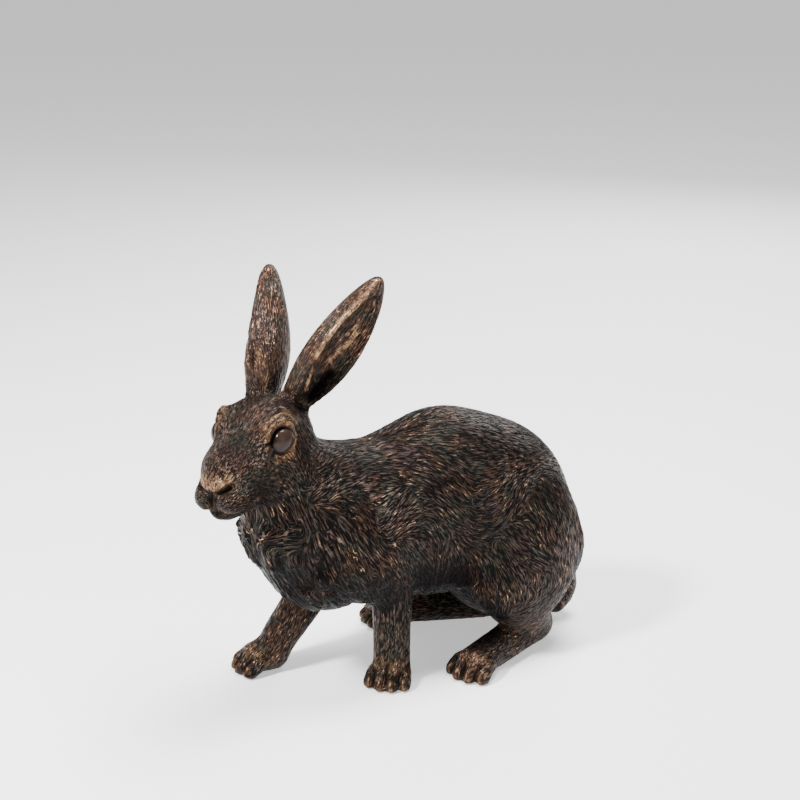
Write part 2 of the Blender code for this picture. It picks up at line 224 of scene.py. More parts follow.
def write_points(mesh, points):
    mesh.vertices.foreach_set("co", ((points + FIGURE_ORIGIN) * MM).ravel())
    mesh.update()


def read_normals(mesh):
    normals = np.empty(len(mesh.vertices) * 3)
    mesh.vertices.foreach_get("normal", normals)
    return normals.reshape(-1, 3)


def baked(body, kind, **settings):
    """Adds a modifier with its settings, and makes its result the object's own mesh."""
    modifier = body.modifiers.new(kind.lower(), kind)
    for name, value in settings.items():
        setattr(modifier, name, value)
    graph = bpy.context.evaluated_depsgraph_get()
    mesh = bpy.data.meshes.new_from_object(body.evaluated_get(graph))
    body.modifiers.clear()
    old = body.data
    body.data = mesh
    bpy.data.meshes.remove(old)


def relaxed(mesh, points, rounds, keep):
    """Evens out small facets, and pushes back as far as each round drew the surface in."""
    edges = np.empty(len(mesh.edges) * 2, dtype=np.int64)
    mesh.edges.foreach_get("vertices", edges)
    first, second = edges.reshape(-1, 2).T
    count = len(points)
    degree = np.bincount(first, minlength=count) + np.bincount(second, minlength=count)
    for _ in range(rounds):
        for pull in (0.5, -0.5 * keep):
            mean = np.empty_like(points)
            for axis in range(3):
                values = points[:, axis]
                total = np.bincount(first, values[second], count)
                total += np.bincount(second, values[first], count)
                mean[:, axis] = total / degree
            points = points + pull * (mean - points)
    return points


def fine_skin(node):
    """A merged copy of the casting's mesh, smoothed and divided finely."""
    merged = bmesh.new()
    merged.from_mesh(node.data)
    bmesh.ops.remove_doubles(merged, verts=merged.verts, dist=MERGE_DISTANCE * MM)
    mesh = bpy.data.meshes.new("rabbit_skin")
    merged.to_mesh(mesh)
    merged.free()
    body = bpy.data.objects.new("rabbit_skin", mesh)
    bpy.context.scene.collection.objects.link(body)
    baked(body, "SUBSURF", levels=1, render_levels=1)
    baked(body, "REMESH", mode="VOXEL", voxel_size=SKIN_VOXEL * MM, adaptivity=0.0)
    points = relaxed(body.data, read_points(body.data), SMOOTHING_ROUNDS, PUSHED_BACK)
    write_points(body.data, points)
    halve_facets(body.data)
    return body


def halve_facets(mesh):
    """Halves the facets round the eyes and the nose."""
    finer = bmesh.new()
    finer.from_mesh(mesh)
    local = local_to(HEAD, read_points(mesh))
    chosen = np.zeros(len(local), dtype=bool)
    for place, reach in HALVED_PLACES:
        chosen |= np.linalg.norm(local - place, axis=1) < reach
    finer.verts.ensure_lookup_table()
    edges = [edge for edge in finer.edges if all(chosen[vert.index] for vert in edge.verts)]
    bmesh.ops.subdivide_edges(finer, edges=edges, cuts=1, use_grid_fill=True)
    finer.to_mesh(mesh)
    finer.free()
    mesh.update()


class Surface:
    """Finds places on the skin: nearest to a point, or behind a pixel of the picture."""

    def __init__(self, body):
        self.tree = BVHTree.FromObject(body, bpy.context.evaluated_depsgraph_get())

    def nearest(self, points):
        found = []
        for point in np.atleast_2d(points):
            place, _, _, _ = self.tree.find_nearest(Vector((point + FIGURE_ORIGIN) * MM))
            found.append(np.array(place) / MM - FIGURE_ORIGIN)
        return np.array(found)

    def behind_pixels(self, pixels):
        back, right, up = camera_axes()
        start = (CAMERA_TARGET + back * CAMERA_DISTANCE) * MM
        focal = CAMERA_LENS / FILM_WIDTH * PICTURE_SIZE
        found = []
        for column, row in pixels:
            offset_x = column - PICTURE_SIZE / 2
            offset_y = PICTURE_SIZE / 2 - row
            direction = right * offset_x + up * offset_y - back * focal
            direction /= np.linalg.norm(direction)
            place, _, _, _ = self.tree.ray_cast(Vector(start), Vector(direction))
            if place is None:
                place = self.beside_ray(start, direction)
            found.append(np.array(place) / MM - FIGURE_ORIGIN)
        return np.array(found)

    def beside_ray(self, start, direction):
        """The place on the skin that a missing ray passes closest to."""
        closest = None
        depths = np.linspace(0.85, 1.35, 60) * CAMERA_DISTANCE * MM
        for depth in depths:
            place, _, _, gap = self.tree.find_nearest(Vector(start + depth * direction))
            if closest is None or gap < closest[1]:
                closest = (place, gap)
        return closest[0]

    def other_cheek(self, points):
        """The same places on the other side of the head."""
        flipped = local_to(HEAD, points) * (-1, 1, 1)
        return self.nearest(carried(HEAD, flipped))

    def other_flank(self, points):
        return self.nearest(np.atleast_2d(points) * (-1, 1, 1))


def line_distance(points, line):
    """How far each point is from a line of joined pieces, and its share of the way along."""
    found = np.full(len(points), np.inf)
    share = np.zeros(len(points))
    pieces = len(line) - 1
    for index, (start, end) in enumerate(zip(line, line[1:])):
        along = end - start
        part = np.clip((points - start) @ along / max(along @ along, 1e-9), 0, 1)
        away = np.linalg.norm(points - start - part[:, None] * along, axis=1)
        nearer = away < found
        found = np.where(nearer, away, found)
        share = np.where(nearer, (index + part) / pieces, share)
    return found, share


class Bench:
    """The skin while it is chased: how far each place is raised, rubbed bright or given a painted
    highlight, or darkened with painted shade.
    """

    def __init__(self, points):
        self.points = points
        self.raised = np.zeros(len(points))
        self.rubbed = np.zeros(len(points))
        self.darkened = np.zeros(len(points))
        self.bare = np.zeros(len(points))

    def near(self, line, reach):
        low = line.min(axis=0) - reach
        high = line.max(axis=0) + reach
        return ((self.points > low) & (self.points < high)).all(axis=1).nonzero()[0]

    def chase(self, line, radius, height=0.0, rub=0.0, dark=0.0, bare=0.0, taper=0.0):
        """Works along a line on the skin, less towards its ends as taper goes to 1."""
        chosen = self.near(line, radius * 2.6)
        if len(line) < 2 or not len(chosen):
            return
        away, share = line_distance(self.points[chosen], line)
        strength = np.exp(-(away / radius) ** 2)
        strength *= 1 - taper * (2 * share - 1) ** 2
        self.raised[chosen] += height * strength
        for field, amount in ((self.rubbed, rub), (self.darkened, dark), (self.bare, bare)):
            field[chosen] = np.maximum(field[chosen], amount * strength)

    def dab(self, centre, radius, **work):
        """Works round one place."""
        centre = np.asarray(centre, float)
        self.chase(np.array((centre, centre + (0, 0, 0.01))), radius, **work)


# Face

EYE_CENTRE = (19.0, -7.4, 6.8)
EYE_RADIUS = 10.2
EYE_OUTWARD = (0.93, -0.35, 0.08)

# The lids' edge in degrees round the eyeball, wider at the front corner and at the rear one
LID_OPENING = 61
FRONT_CORNER = 10
REAR_CORNER = 4

# The lids' thickness in millimetres, and their width in degrees
LOWER_LID_THICKNESS = 0.9
UPPER_LID_THICKNESS = 2.7
LOWER_LID_WIDTH = 8
UPPER_LID_WIDTH = 17


def eye_frame(side):
    """Local X leaves the eye, Y points to the nose and Z up, for the left (1) or right (-1) eye."""
    outward = Vector((EYE_OUTWARD[0] * side, EYE_OUTWARD[1], EYE_OUTWARD[2])).normalized()
    nose = Vector((0, -1, -0.25))
    nose = (nose - nose.dot(outward) * outward).normalized()
    up = Vector((0, 0, 1))
    up = (up - up.dot(outward) * outward - up.dot(nose) * nose).normalized()
    frame = Matrix((outward, nose, up)).transposed().to_4x4()
    frame.translation = Vector((EYE_CENTRE[0] * side, EYE_CENTRE[1], EYE_CENTRE[2]))
    return HEAD @ frame


class EyeView:
    """Points as one eye sees them: how far off, round which way, and how far past the lids' edge."""

    def __init__(self, points, side):
        self.frame = eye_frame(side)
        self.local = local_to(self.frame, points)
        self.away = np.linalg.norm(self.local, axis=1)
        share = np.clip(self.local[:, 0] / np.maximum(self.away, 1e-6), -1, 1)
        angle = np.arctan2(self.local[:, 2], self.local[:, 1])
        corner = np.exp(-(((angle - 0.1) / 0.4) ** 2))
        rear = np.exp(-(((np.abs(angle) - math.pi) / 0.6) ** 2))
        opening = LID_OPENING + FRONT_CORNER * corner + REAR_CORNER * rear
        self.beyond = np.degrees(np.arccos(share)) - opening
        self.upper = smooth_step(np.sin(angle), -0.25, 0.5)
        self.front = smooth_step(np.cos(angle), 0.2, 0.9)
        self.shade = 4 + 16 * self.upper
        self.close = (self.away > EYE_RADIUS - 5) & (self.away < EYE_RADIUS + 5.5)


def set_eyes(points, bench):
    """Draws each eyeball true, and sets a thick upper lid and a thin lower one round it."""
    for side in (1, -1):
        view = EyeView(points, side)
        beyond, away = view.beyond, view.away
        close = view.close & (beyond < 40)
        thickness = between(LOWER_LID_THICKNESS, UPPER_LID_THICKNESS, view.upper)
        width = between(LOWER_LID_WIDTH, UPPER_LID_WIDTH, view.upper)
        lid_fall = smooth_step(beyond, width * 0.5, width + 12)
        lid_rise = smooth_step(beyond, -1.5, 3.0)
        ball = EYE_RADIUS - 1.2 * smooth_step(beyond, -view.shade, 0)
        lid = EYE_RADIUS + thickness * np.sin(np.clip(beyond / width, 0, 1) * math.pi) ** 0.5
        lid = np.where(beyond > width * 0.5, EYE_RADIUS + thickness, lid)
        wanted = between(ball, lid, lid_rise)
        blend = np.where(beyond < 0, 1, 1 - lid_fall)
        outer = np.where(beyond > 4, away, 0)
        wanted = np.where(beyond < width, np.maximum(wanted, outer), wanted)
        moved = away + (wanted - away) * blend
        scale = np.where(close, moved / np.maximum(away, 1e-6), 1)
        points = carried(view.frame, view.local * scale[:, None])
        bench.bare[close & (beyond < 3)] = 1
        bright = (0.1 + 0.55 * view.upper) * smooth_step(beyond, 0.5, 2.5)
        bright *= smooth_step(beyond, 12, 5)
        rim = 0.7 * (1 - view.upper) * smooth_step(beyond, 2, 3.2) * smooth_step(beyond, 7, 4.5)
        bright = np.maximum(bright, rim) * close * (1 if side == 1 else 0.5)
        bench.rubbed = np.maximum(bench.rubbed, bright)
    return points


def eye_numbers(points):
    """For each point, how much it is polished eye, and how much lies in the lids' shadow."""
    polished = np.zeros(len(points))
    shadow = np.zeros(len(points))
    for side in (1, -1):
        view = EyeView(points, side)
        on_ball = view.close * smooth_step(view.beyond, -1.0, -view.shade * 0.55 - 1.5)
        under_lid = view.close * smooth_step(view.beyond, -view.shade, -view.shade * 0.4)
        under_lid = under_lid * smooth_step(view.beyond, 2.8, 1.2)
        under_lid = np.maximum(under_lid, 0.75 * view.close * view.front
                               * smooth_step(view.beyond, -26, -18) * (view.beyond < 0))
        polished = np.maximum(polished, on_ball)
        shadow = np.maximum(shadow, under_lid)
    return polished, shadow


BROW_ARC = ((264, 430), (269, 422), (276, 416.5), (284, 413.5), (291, 416.5), (296, 423))
LOWER_LID = ((266, 449.5), (271, 446.5), (277, 449.5), (284, 453), (290, 452), (295, 445))
NOSTRIL = ((5.0, -60.0, -12.0), (7.5, -58.5, -10.2), (11.5, -54.0, -8.5))
LIP_SPLIT = ((0, -62, -13.5), (0, -62, -18), (0, -61, -24))
MOUTH = ((0.5, -60, -26), (7, -57, -27.8), (13, -50, -29), (17.5, -40, -29.2), (19, -34, -28.2))
NOSE_TOP = ((-6, -57, -6.5), (0, -58.5, -5.5), (6, -57, -6.5))


def chase_face(bench, surface):
    # The dark given to the nostrils, the mouth and the lip's split is painted shade.
    for side in (1, -1):
        flip = (side, 1, 1)
        nostril = surface.nearest(carried(HEAD, np.array(NOSTRIL) * flip))
        bench.chase(nostril, 1.6, height=-1.7, dark=1.0, bare=0.9)
        above = surface.nearest(carried(HEAD, np.array(NOSTRIL) * flip + (0, 0, 4.2)))
        bench.chase(above, 2.6, height=0.5, rub=0.7, bare=0.4)
        mouth = surface.nearest(carried(HEAD, np.array(MOUTH) * flip))
        bench.chase(mouth, 1.4, height=-1.5, dark=1.0, bare=0.5, taper=0.5)
        lip = surface.nearest(carried(HEAD, np.array(MOUTH) * flip + (0, 0, 3.0)))
        bench.chase(lip, 2.4, height=0.5, rub=0.35)
    split = surface.nearest(carried(HEAD, np.array(LIP_SPLIT)))
    bench.chase(split, 1.3, height=-1.5, dark=1.0, bare=0.9)
    nose_top = surface.nearest(carried(HEAD, np.array(NOSE_TOP)))
    bench.chase(nose_top, 4.4, height=0.3, rub=0.85)
    brow = surface.behind_pixels(BROW_ARC)
    bench.chase(brow, 1.5, height=0.7, rub=0.8, taper=0.3)
    bench.chase(surface.behind_pixels(LOWER_LID), 0.8, height=0.4, rub=1.0, bare=1.0, taper=0.4)
    bench.chase(surface.other_cheek(brow), 1.9, height=0.8, rub=0.35, taper=0.3)


# Ears

NEAR_EAR_RIDGE = (
    (377, 281), (367, 293), (356, 306), (345, 317), (337, 326), (330, 336),
    (323, 346), (316, 357), (312, 370), (308, 381), (306, 389),
)
NEAR_EAR_FOLD = ((360, 318), (357, 328), (351, 341), (342, 348), (332, 357), (325, 365))
NEAR_EAR_DEPTH = ((330, 372), (322, 381), (315, 389), (311, 396))
FAR_EAR_RIM = ((247, 340), (244, 350), (244, 362), (247, 374))
FAR_EAR_GROOVE = ((254, 343), (252, 355), (253, 368))
FAR_EAR_RIDGE = ((258, 352), (262, 364), (265, 376), (264, 388))


def chase_ears(bench, surface):
    ridge = surface.behind_pixels(NEAR_EAR_RIDGE)
    bench.chase(ridge, 1.4, height=1.2, rub=1.0, bare=0.55)
    # The fold's copper is partly rubbed metal and partly a painted highlight.
    fold = surface.behind_pixels(NEAR_EAR_FOLD)
    bench.chase(fold, 1.8, height=0.8, rub=0.75, bare=0.8, taper=0.8)
    # The dark at the ear's depth and in the far ear's groove is painted shade.
    depth = surface.behind_pixels(NEAR_EAR_DEPTH)
    bench.chase(depth, 4.5, height=-0.6, dark=1.0, bare=0.5)
    # The far ear's rim is partly rubbed metal and partly a painted highlight.
    rim = surface.behind_pixels(FAR_EAR_RIM)
    bench.chase(rim, 1.8, height=0.7, rub=0.8, taper=0.5)
    groove = surface.behind_pixels(FAR_EAR_GROOVE)
    bench.chase(groove, 1.7, height=-0.9, dark=0.8, taper=0.5)
    ridge = surface.behind_pixels(FAR_EAR_RIDGE)
    bench.chase(ridge, 2.4, height=0.6, rub=0.6, taper=0.5)


# Paws

def chase_paws(bench, surface):
    for (ankle_x, ankle_y), heading, length, width, toe in FEET:
        frame = turned_frame((ankle_x, ankle_y, 0), (0, 0, heading))
        ends = []
        for index in range(4):
            side = (index - 1.5) / 1.5
            across = side * (width / 2 - toe)
            forward = -length + toe + side**2 * toe * 0.9
            ends.append((across, forward))
            claw = ((across * 1.03, forward - toe * 0.55, toe * 1.75),
                    (across * 1.06, forward - toe * 0.95, toe * 1.1),
                    (across * 1.07, forward - toe * 1.05, toe * 0.35))
            claw = surface.nearest(carried(frame, claw))
            # The dark round each claw and in the clefts between the toes is painted shade.
            bench.chase(claw, 2.3, dark=0.7, bare=0.8)
            bench.chase(claw, 1.15, height=1.0, rub=1.0, bare=1.0)
            knuckle = surface.nearest(carried(frame, ((across * 0.92, forward + toe * 1.3, 15),)))
            bench.dab(knuckle[0], toe * 0.8, height=0.4, rub=0.45)
        for (left, left_end), (right, right_end) in zip(ends, ends[1:]):
            middle = (left + right) / 2
            end = (left_end + right_end) / 2
            cleft = ((middle * 0.8, end + toe * 3.0, 12), (middle, end + toe * 1.2, 10),
                     (middle * 1.02, end - toe * 0.2, 5), (middle * 1.02, end - toe * 0.2, 1))
            cleft = surface.nearest(carried(frame, cleft))
            bench.chase(cleft, 1.1, height=-0.9, dark=0.8, bare=0.3)


# Coat: the way the hair lies, and the strokes cut along it

# Combed lines on the near side, as pixels of the picture, each from root to tip
COMBED_FACE = (
    ((206, 484), (216, 462), (230, 438), (244, 416), (258, 400)),
    ((214, 486), (228, 462), (240, 444), (252, 428)),
    ((226, 492), (240, 480), (252, 466), (262, 456)),
    ((232, 500), (250, 490), (268, 484), (286, 492), (296, 506)),
    ((216, 508), (232, 504), (250, 502), (268, 510), (282, 524)),
    ((276, 468), (290, 478), (300, 494), (304, 512)),
    ((300, 440), (308, 462), (312, 484)),
    ((240, 408), (254, 396), (270, 390)),
    ((262, 404), (278, 396), (288, 390)),
    ((290, 406), (302, 420), (310, 438)),
    ((226, 521), (244, 528), (258, 540)),
)
COMBED_BODY = (
    ((312, 470), (328, 456), (346, 446), (372, 440), (410, 437), (450, 436), (500, 446), (540, 464)),
    ((306, 500), (322, 484), (340, 468), (362, 458), (392, 455), (424, 460), (452, 474), (474, 498)),
    ((330, 498), (344, 484), (366, 474), (396, 474), (424, 484), (448, 502), (468, 526)),
    ((336, 500), (350, 508), (364, 520), (372, 534)),
    ((384, 524), (396, 512), (406, 500), (412, 494)),
    ((392, 536), (408, 522), (424, 514), (438, 520), (448, 536), (450, 556), (446, 580)),
    ((318, 520), (326, 542), (336, 566), (350, 590)),
    ((338, 526), (352, 548), (364, 568), (378, 590)),
    ((366, 536), (378, 556), (392, 574), (402, 592)),
    ((400, 546), (410, 562), (416, 580)),
    ((452, 526), (468, 532), (488, 534), (502, 528), (512, 510), (522, 486), (540, 468), (560, 468)),
    ((456, 534), (472, 548), (486, 566), (490, 584)),
    ((454, 540), (462, 562), (466, 586)),
    ((470, 470), (494, 468), (520, 460)),
    ((480, 500), (498, 492), (516, 476), (534, 464)),
    ((556, 476), (570, 498), (578, 528), (580, 558)),
    ((540, 482), (554, 506), (562, 536), (566, 562)),
    ((506, 524), (518, 544), (534, 558), (550, 566)),
    ((528, 500), (540, 520), (548, 544)),
    ((496, 544), (510, 566), (522, 588), (522, 606)),
    ((546, 572), (548, 590), (536, 604), (524, 610)),
    ((578, 566), (576, 586), (568, 606)),
)
COMBED_NEAR_EAR = (
    ((300, 384), (312, 362), (328, 340), (350, 312), (372, 288)),
    ((292, 384), (302, 356), (318, 334), (340, 312)),
    ((318, 376), (336, 350), (356, 324), (374, 296)),
)
COMBED_FAR_EAR = (
    ((262, 396), (258, 364), (256, 332), (258, 300), (264, 274)),
    ((276, 388), (276, 350), (276, 316), (272, 280)),
    ((268, 380), (262, 340), (256, 316)),
)
# Combed lines out of the picture, in the figure's millimetres, from root to tip
COMBED_ELSEWHERE = (
    ((4, -70, 150), (4, -92, 120), (2, -70, 80), (0, -45, 55)),
    ((16, -68, 150), (20, -84, 122), (18, -62, 84)),
    ((0, -40, 190), (0, 0, 180), (0, 50, 184), (0, 100, 168), (0, 140, 140), (0, 166, 100)),
    ((25, 11, 70), (25, 11, 40), (25, 4, 14)),
    ((38, 11, 60), (38, 11, 35), (36, 4, 14)),
    ((-28, -20, 66), (-29, -42, 34), (-33, -60, 18), (-34, -74, 10)),
    ((-38, -20, 60), (-40, -44, 30)),
    ((22, 131, 24), (40, 100, 20), (52, 66, 12)),
    ((-27, 119, 24), (-44, 86, 20), (-58, 50, 12)),
    ((0, 170, 62), (0, 186, 40), (0, 180, 14)),
    ((10, 20, 60), (10, 60, 56), (10, 100, 50)),
    ((-10, 20, 60), (-10, 60, 56), (-10, 100, 50)),
    ((26, 140, 110), (26, 160, 80), (20, 162, 50)),
    ((-26, 140, 110), (-26, 160, 80), (-20, 162, 50)),
)


class Comb:
    """The direction of the hair, spread over the skin from the combed lines."""

    def __init__(self, surface):
        self.places = []
        self.ways = []
        for pixels in COMBED_FACE:
            line = surface.behind_pixels(pixels)
            self.lay(line)
            self.lay(surface.other_cheek(line))
        for pixels in COMBED_BODY:
            line = surface.behind_pixels(pixels)
            self.lay(line)
            self.lay(surface.other_flank(line))
        for pixels in COMBED_NEAR_EAR + COMBED_FAR_EAR:
            line = surface.behind_pixels(pixels)
            self.lay(line)
            self.lay(surface.other_cheek(line))
        for points in COMBED_ELSEWHERE:
            self.lay(surface.nearest(np.array(points, float)))
        self.places = np.array(self.places)
        self.ways = np.array(self.ways)

    def lay(self, line):
        for start, end in zip(line, line[1:]):
            length = np.linalg.norm(end - start)
            if 1 < length < 60:
                for share in (0.25, 0.75):
                    self.places.append(start + share * (end - start))
                    self.ways.append((end - start) / length)

    def way_at(self, points, normals):
        """The hair's direction along the skin at each point."""
        found = np.empty_like(points)
        for start in range(0, len(points), 20000):
            chunk = points[start:start + 20000]
            gap = ((chunk[:, None] - self.places) ** 2).sum(axis=2)
            weight = 1 / (gap + 16) ** 2
            found[start:start + 20000] = weight @ self.ways
        return along_skin(found, normals)


def along_skin(ways, normals):
    flat = ways - (ways * normals).sum(axis=1)[:, None] * normals
    length = np.linalg.norm(flat, axis=1)
    return flat / np.maximum(length, 1e-6)[:, None]


# Strokes of the coat: length, width and depth in millimetres
BODY_STROKES = (13.0, 2.8, 1.05)
RUFF_STROKES = (22.0, 3.6, 1.9)
LEG_STROKES = (8.5, 2.3, 0.5)
FACE_STROKES = (7.5, 2.3, 0.6)
MUZZLE_STROKES = (5.0, 2.0, 0.4)
EAR_STROKES = (9.0, 2.3, 0.45)


def coat_by_place(points):
    """The length, width and depth of the strokes at each point, in millimetres."""
    head = local_to(HEAD, points)
    face = smooth_step(-head[:, 1], -34, -6) * smooth_step(points[:, 1], 20, -30)
    face *= smooth_step(points[:, 2], 138, 160)
    muzzle = face * smooth_step(-head[:, 1], 10, 40)
    ears = smooth_step(points[:, 2], 205, 216)
    legs = smooth_step(points[:, 2], 58, 42)
    ruff = smooth_step(points[:, 2], 58, 74) * smooth_step(points[:, 2], 158, 142)
    ruff *= smooth_step(points[:, 1], -26, -46)
    sizes = [np.full(len(points), size) for size in BODY_STROKES]
    for share, own in (
        (ruff, RUFF_STROKES),
        (legs, LEG_STROKES),
        (face, FACE_STROKES),
        (muzzle, MUZZLE_STROKES),
        (ears, EAR_STROKES),
    ):
        sizes = [between(size, own_size, share) for size, own_size in zip(sizes, own)]
    return sizes


LEAST_HANDLED = 0.12


def how_handled(points):
    """Where hands and weather keep the bronze warm: ears most, then head and paws."""
    ears = smooth_step(points[:, 2], 203, 222)
    head = smooth_step(points[:, 2], 150, 175) * smooth_step(points[:, 1], -20, -45)
    paws = smooth_step(points[:, 2], 62, 30)
    rump = smooth_step(points[:, 1], 95, 150) * 0.35
    return np.clip(np.maximum.reduce((ears, head * 0.45, paws * 0.5, rump)), LEAST_HANDLED, 1)


def scattered(points, spacing, chance):
    """Picks well-spread points, no two of them closer than the spacing there."""
    cell = float(spacing.max())
    kept = []
    grid = {}
    keys = np.floor(points / cell).astype(int)
    neighbours = [(x, y, z) for x in (-1, 0, 1) for y in (-1, 0, 1) for z in (-1, 0, 1)]
    order = chance.permutation(len(points))
    for index in order:
        point = points[index]
        key = tuple(keys[index])
        limit = spacing[index] ** 2
        clear = True
        for x, y, z in neighbours:
            for other in grid.get((key[0] + x, key[1] + y, key[2] + z), ()):
                gap = point[0] - other[0], point[1] - other[1], point[2] - other[2]
                if gap[0] * gap[0] + gap[1] * gap[1] + gap[2] * gap[2] < limit:
                    clear = False
                    break
            if not clear:
                break
        if clear:
            kept.append(index)
            grid.setdefault(key, []).append(tuple(point))
    return np.array(kept)


STROKE_SEED = 11
STROKE_PLACES = 90000  # places tried for a stroke's middle
STROKE_SPACING = 0.42  # as a share of the mean of length and width
STROKE_HALF_WIDTH = 0.62  # as a share of the width
STROKE_LEAN = 9  # degrees
STROKE_BEND = 0.9
STROKES_ROUND_POINT = 14
SKIN_LEVEL = 0.45  # the share of the strokes' depth that stands under the skin


class Strokes:
    """The coat's strokes, each with a middle, a direction, a length, a width, a height and a bend."""

    def __init__(self, points, normals, comb, length, width):
        chance = np.random.default_rng(STROKE_SEED)
        spacing = np.sqrt(length * width) * STROKE_SPACING
        pool = chance.choice(len(points), min(len(points), STROKE_PLACES), replace=False)
        chosen = pool[scattered(points[pool], spacing[pool], chance)]
        count = len(chosen)
        ways = comb.way_at(points[chosen], normals[chosen])
        sides = np.cross(normals[chosen], ways)
        lean = np.radians(chance.normal(0, STROKE_LEAN, count))[:, None]
        self.middles = points[chosen]
        self.ways = ways * np.cos(lean) + sides * np.sin(lean)
        self.sides = np.cross(normals[chosen], self.ways)
        self.lengths = length[chosen] * chance.uniform(0.75, 1.25, count)
        self.half_widths = width[chosen] * STROKE_HALF_WIDTH * chance.uniform(0.8, 1.25, count)
        self.heights = chance.uniform(0.55, 1.0, count)
        self.bends = chance.normal(0, STROKE_BEND, count)

    def round_points(self, points):
        """The strokes nearest to each point."""
        tree = KDTree(len(self.middles))
        for index, middle in enumerate(self.middles):
            tree.insert(middle, index)
        tree.balance()
        near = np.empty((len(points), STROKES_ROUND_POINT), dtype=np.int64)
        for index, point in enumerate(points):
            near[index] = [found[1] for found in tree.find_n(point, STROKES_ROUND_POINT)]
        return near

    def height_of(self, pick, points):
        """How high one stroke for each point stands there, rising to its tip and round across."""
        offset = points - self.middles[pick]
        along = (offset * self.ways[pick]).sum(axis=1) / self.lengths[pick]
        across = (offset * self.sides[pick]).sum(axis=1) / self.half_widths[pick]
        across += self.bends[pick] * along**2
        taper = 0.2 + 0.8 * np.sin(math.pi * np.clip(0.5 - along, 0, 1) ** 1.25)
        crown = np.clip(1 - (across / taper) ** 2, 0, 1) ** 0.6
        lift = (0.45 + 0.55 * np.clip(along + 0.5, 0, 1)) * smooth_step(along, 0.5, 0.40)
        lift *= smooth_step(along, -0.5, -0.38)
        return self.heights[pick] * lift * crown


def cut_coat(points, normals, comb):
    """The strokes' height over the skin as a share of their depth, and that depth."""
    length, width, depth = coat_by_place(points)
    strokes = Strokes(points, normals, comb, length, width)
    height = np.zeros(len(points))
    for pick in strokes.round_points(points).T:
        height = np.maximum(height, strokes.height_of(pick, points))
    return height, depth


# Patina, with painted shade and painted highlights

class Value:
    """A number on a shader's wires, which can be reckoned with."""

    def __init__(self, graph, socket):
        self.graph = graph
        self.socket = socket

    def reckon(self, operation, *others):
        return self.graph.node("ShaderNodeMath", {"operation": operation}, self, *others)[0]

    def __add__(self, other):
        return self.reckon("ADD", other)

    def __radd__(self, other):
        return self.reckon("ADD", other)

    def __sub__(self, other):
        return self.reckon("SUBTRACT", other)

    def __rsub__(self, other):
        return self.graph.node("ShaderNodeMath", {"operation": "SUBTRACT"}, other, self)[0]

    def __mul__(self, other):
        return self.reckon("MULTIPLY", other)

    def __rmul__(self, other):
        return self.reckon("MULTIPLY", other)

    def __truediv__(self, other):
        return self.reckon("DIVIDE", other)

    def most(self, other):
        return self.reckon("MAXIMUM", other)

    def clamped(self):
        return self.reckon("MAXIMUM", 0).reckon("MINIMUM", 1)

    def step(self, low, high):
        """0 below low and 1 above high, smooth between them."""
        share = ((self - low) / (high - low)).clamped()
        return share * share * (3 - 2 * share)


class Graph:
    """A material's node tree, whose nodes are made by one method."""

    def __init__(self, name):
        self.material = bpy.data.materials.new(name)
        self.material.use_nodes = True
        self.tree = self.material.node_tree
        self.shader = self.tree.nodes["Principled BSDF"]

    def node(self, kind, settings, *values, **named):
        """A node with its settings, and its inputs in order or by name. Returns its outputs."""
        made = self.tree.nodes.new(kind)
        for name, value in settings.items():
            setattr(made, name, value)
        for index, value in enumerate(values):
            self.feed(made.inputs[index], value)
        for name, value in named.items():
            self.feed(made.inputs[name.replace("_", " ")], value)
        return [Value(self, socket) for socket in made.outputs]

    def feed(self, socket, value):
        if isinstance(value, Value):
            self.tree.links.new(value.socket, socket)
        elif value is not None:
            socket.default_value = value

    def vector(self, operation, *values):
        outputs = self.node("ShaderNodeVectorMath", {"operation": operation}, *values)
        return outputs[1] if operation == "DOT_PRODUCT" else outputs[0]

    def scaled(self, vector, factor):
        outputs = self.node("ShaderNodeVectorMath", {"operation": "SCALE"}, vector, Scale=factor)
        return outputs[0]

    def number(self, name):
        """A number that each point of the skin has."""
        return self.node("ShaderNodeAttribute", {"attribute_name": name})[2]

    def direction(self, name):
        """A direction that each point of the skin has."""
        return self.node("ShaderNodeAttribute", {"attribute_name": name})[1]

    def blend(self, share, first, second):
        """A colour between two, by the share."""
        made = self.tree.nodes.new("ShaderNodeMix")
        made.data_type = "RGBA"
        self.feed(made.inputs[0], share)
        self.feed(made.inputs[6], first)
        self.feed(made.inputs[7], second)
        return Value(self, made.outputs[2])

    def noise(self, vector, scale, detail=2.0, roughness=0.5):
        outputs = self.node("ShaderNodeTexNoise", {"noise_dimensions": "3D"}, Vector=vector,
                            Scale=scale, Detail=detail, Roughness=roughness)
        return outputs[0]


UMBER_BLACK = (0.002, 0.0015, 0.0015, 1)
GREEN_BLACK = (0.0022, 0.0026, 0.0024, 1)
MAUVE_BROWN = (0.088, 0.061, 0.053, 1)
RED_BROWN = (0.102, 0.059, 0.043, 1)
GREEN_BROWN = (0.070, 0.062, 0.051, 1)
COPPER = (0.29, 0.155, 0.095, 1)
GOLD = (0.82, 0.53, 0.25, 1)
EYE_BROWN = (0.028, 0.016, 0.012, 1)


# The fine strokes: size of their tufts in millimetres, and what sets one layer off from the other
BROAD_TUFT = 14.0
FINE_TUFT = 9.0
FINE_OFFSET = 31.0
TUFT_SHIFT = (97.0, 31.0, 53.0)
OTHER_PATCHES = (70.0, 20.0, 50.0)

EYE_ROUGHNESS = 0.3
EYE_COAT = 0.22
EYE_COAT_ROUGHNESS = 0.12
GAP_SPECULAR = 0.05
STROKE_BUMP = 0.6  # millimetres
PIT_BUMP = 0.05


